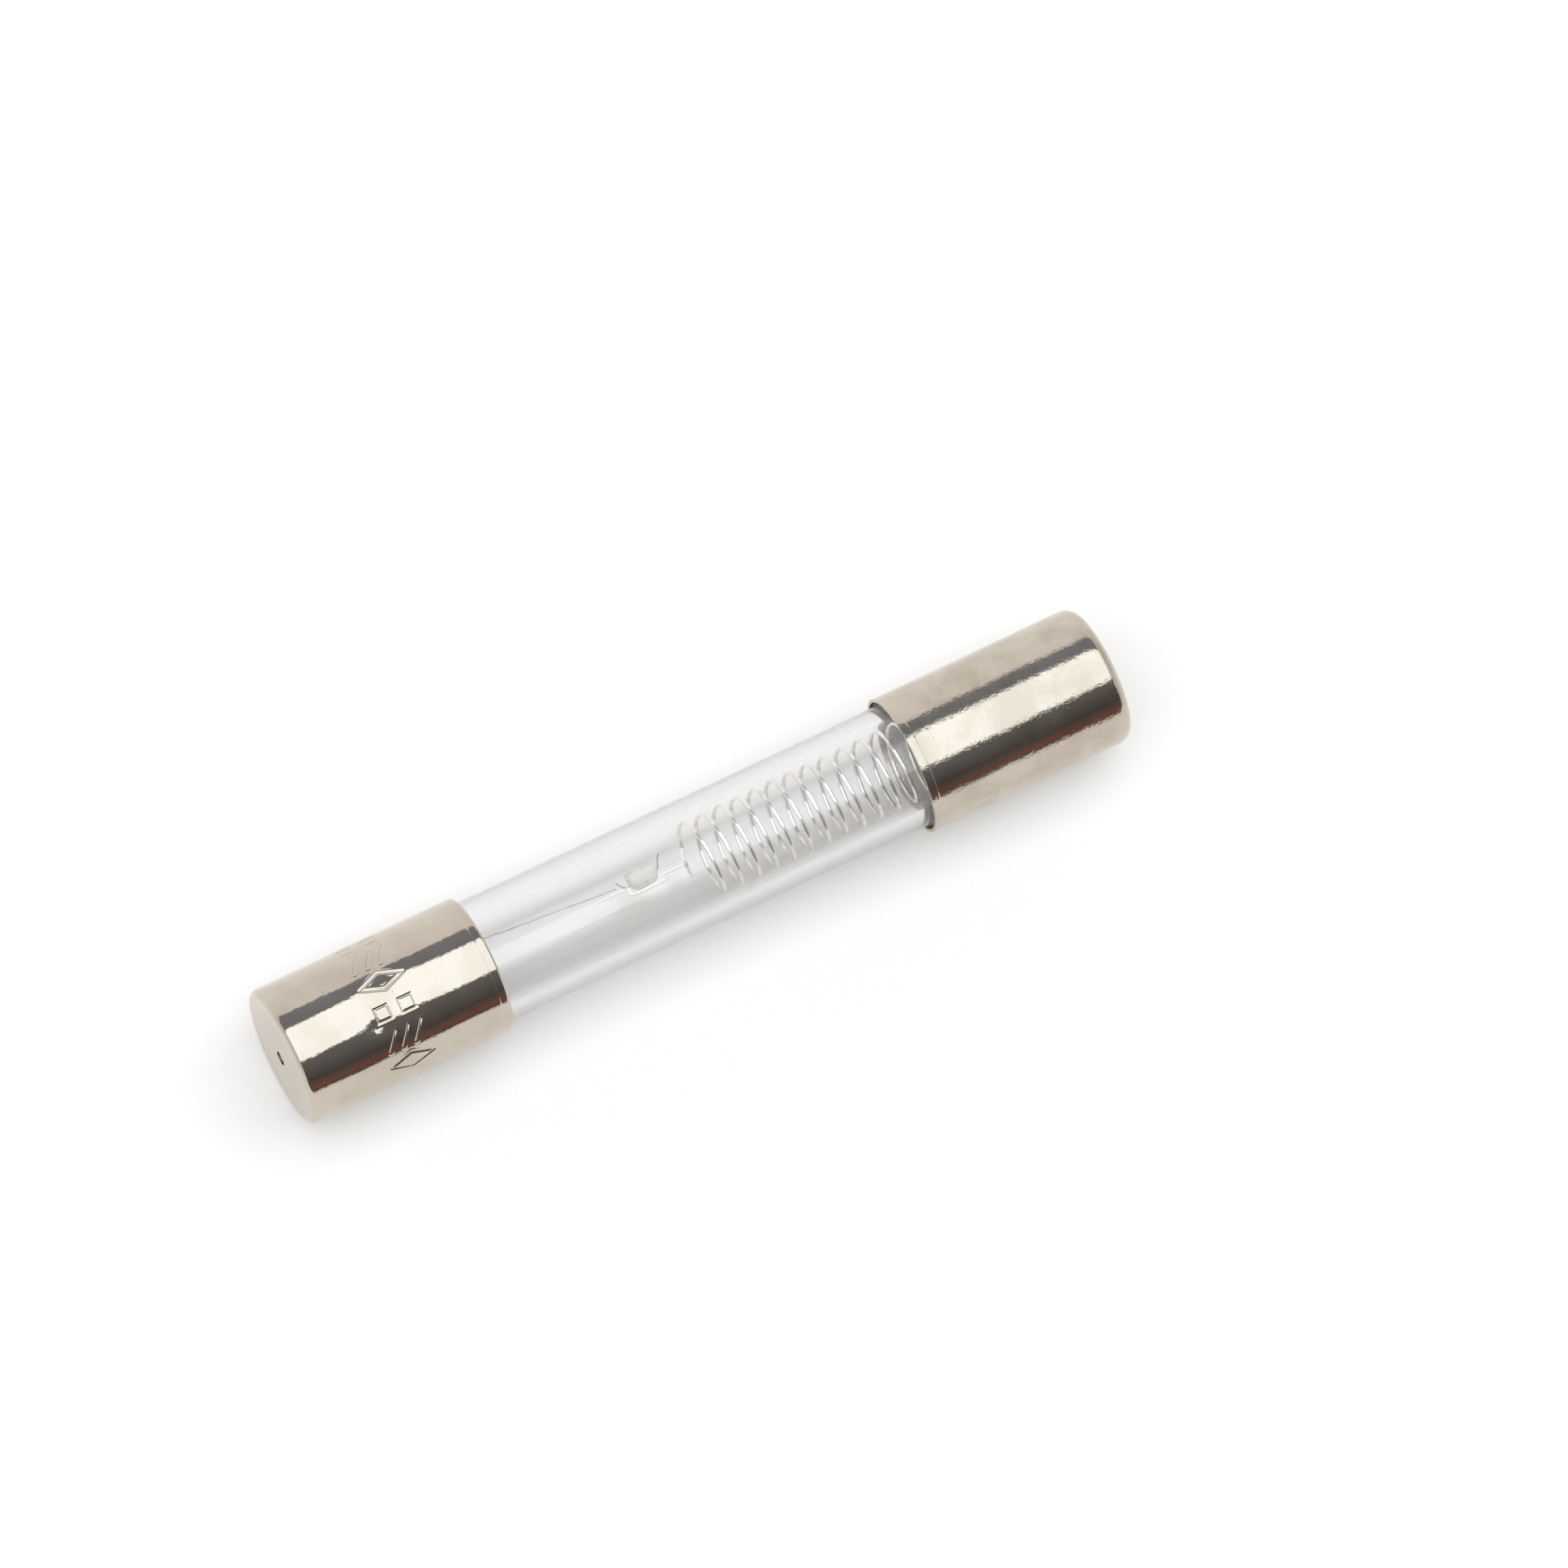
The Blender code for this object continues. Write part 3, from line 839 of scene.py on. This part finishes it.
# Panels of the light tent: each runs between two elevations, in degrees from the front horizon
# (-Y) over the top to the back horizon (+Y), and shades from one brightness to another.
PANELS = (
    (2.0, 7.0, (0.120, 0.070, 0.070), (0.180, 0.100, 0.085)),
    (7.0, 22.0, (0.210, 0.112, 0.092), (0.120, 0.092, 0.090)),
    (22.0, 59.0, (0.085, 0.080, 0.090), (0.200, 0.200, 0.205)),
    (59.0, 115.5, (1.66, 1.78, 1.91), (1.72, 1.84, 1.97)),
    (115.5, 140.0, (0.25, 0.27, 0.31), (0.29, 0.31, 0.36)),
    (140.0, 180.0, (0.97, 0.96, 0.97), (1.04, 1.04, 1.04)),
)
TENT_RADIUS = 0.9
TENT_HALF_LENGTH = 0.9
PANEL_STEPS = 12
FLOOR_GLOW = 0.19

# Camera: how far it leans towards the front cap, its height over the front horizon, the angle at
# which the axis rises in the picture, and how far right and up of the middle the fuse stands.
VIEW_TILT = math.radians(12.3)
VIEW_ELEVATION = math.radians(77.0)
AXIS_RISE = math.radians(25.2)
CAMERA_DISTANCE = 0.8
FRAME_WIDTH = 67.67 * MM
CENTRE_RIGHT = -3.93 * MM
CENTRE_UP = -3.46 * MM


def glowing_panel():
    """Material that shines with each panel's own colours."""
    material = bpy.data.materials.new("tent_panel")
    material.use_nodes = True
    nodes = material.node_tree.nodes
    nodes.clear()
    shade = nodes.new("ShaderNodeAttribute")
    shade.attribute_name = "glow"
    emission = nodes.new("ShaderNodeEmission")
    output = nodes.new("ShaderNodeOutputMaterial")
    links = material.node_tree.links
    links.new(shade.outputs["Color"], emission.inputs["Color"])
    links.new(emission.outputs["Emission"], output.inputs["Surface"])
    return material


def tent():
    """Light tent round the fuse, open at both ends; the camera looks in from above."""
    floor_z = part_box("front_cap")[0].z
    material = glowing_panel()
    for number, (start, end, first, last) in enumerate(PANELS):
        points = []
        glow = []
        for share in np.linspace(0.0, 1.0, PANEL_STEPS + 1):
            angle = math.radians(start + (end - start) * share)
            y = -TENT_RADIUS * math.cos(angle)
            z = TENT_RADIUS * math.sin(angle) + floor_z
            points += [(-TENT_HALF_LENGTH, y, z), (TENT_HALF_LENGTH, y, z)]
            colour = [a + (b - a) * share for a, b in zip(first, last)]
            glow += [(*colour, 1.0)] * 2
        faces = [(2 * i, 2 * i + 1, 2 * i + 3, 2 * i + 2) for i in range(PANEL_STEPS)]
        mesh = bpy.data.meshes.new(f"tent_panel_{number}")
        mesh.from_pydata(points, [], faces)
        layer = mesh.attributes.new("glow", "FLOAT_COLOR", "POINT")
        layer.data.foreach_set("color", np.array(glow, np.float32).ravel())
        mesh.materials.append(material)
        panel = add_object(mesh.name, mesh)
        panel.visible_camera = False


def floor():
    """Plain pale light table that the fuse lies on."""
    floor_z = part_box("front_cap")[0].z
    size = 4.0
    mesh = bpy.data.meshes.new("floor")
    corners = [(-size, -size), (size, -size), (size, size), (-size, size)]
    mesh.from_pydata([(x, y, floor_z) for x, y in corners], [], [(0, 1, 2, 3)])
    ground = add_object("floor", mesh)
    pale = (0.905, 0.87, 0.825)
    look = Look("floor", pale, 0.9,
                Emission_Color=(1.0, 1.0, 1.0, 1.0), Emission_Strength=FLOOR_GLOW)
    look.colour(look.blend(look.noise(0.02, 2.0), pale, (0.91, 0.875, 0.83)))
    mesh.materials.append(look.material)


def world():
    """Even, faintly cool light from all round."""
    background = bpy.data.worlds.new("studio")
    bpy.context.scene.world = background
    background.use_nodes = True
    shade = background.node_tree.nodes["Background"]
    shade.inputs["Color"].default_value = (0.97, 0.98, 1.0, 1.0)
    shade.inputs["Strength"].default_value = 0.8


def camera():
    """Long lens, nearly over the fuse, rolled so that the fuse's axis rises to the right."""
    toward = Vector((
        -math.sin(VIEW_TILT),
        -math.cos(VIEW_TILT) * math.cos(VIEW_ELEVATION),
        math.cos(VIEW_TILT) * math.sin(VIEW_ELEVATION),
    ))
    axis = Vector((1.0, 0.0, 0.0))
    along = (axis - toward * axis.dot(toward)).normalized()
    across = toward.cross(along)
    right = along * math.cos(AXIS_RISE) - across * math.sin(AXIS_RISE)
    up = along * math.sin(AXIS_RISE) + across * math.cos(AXIS_RISE)
    data = bpy.data.cameras.new("camera")
    data.sensor_width = 36.0
    data.lens = data.sensor_width * CAMERA_DISTANCE / FRAME_WIDTH
    data.clip_start = 0.01
    data.clip_end = 20.0
    eye = add_object("camera", data)
    target = -right * CENTRE_RIGHT - up * CENTRE_UP
    place_at = target + toward * CAMERA_DISTANCE
    columns = (right, up, toward)
    for row in range(3):
        for column in range(3):
            eye.matrix_world[row][column] = columns[column][row]
        eye.matrix_world[row][3] = place_at[row]
    bpy.context.scene.camera = eye


build_fuse()
floor()
world()
tent()
camera()
bpy.context.scene.view_settings.view_transform = "Standard"
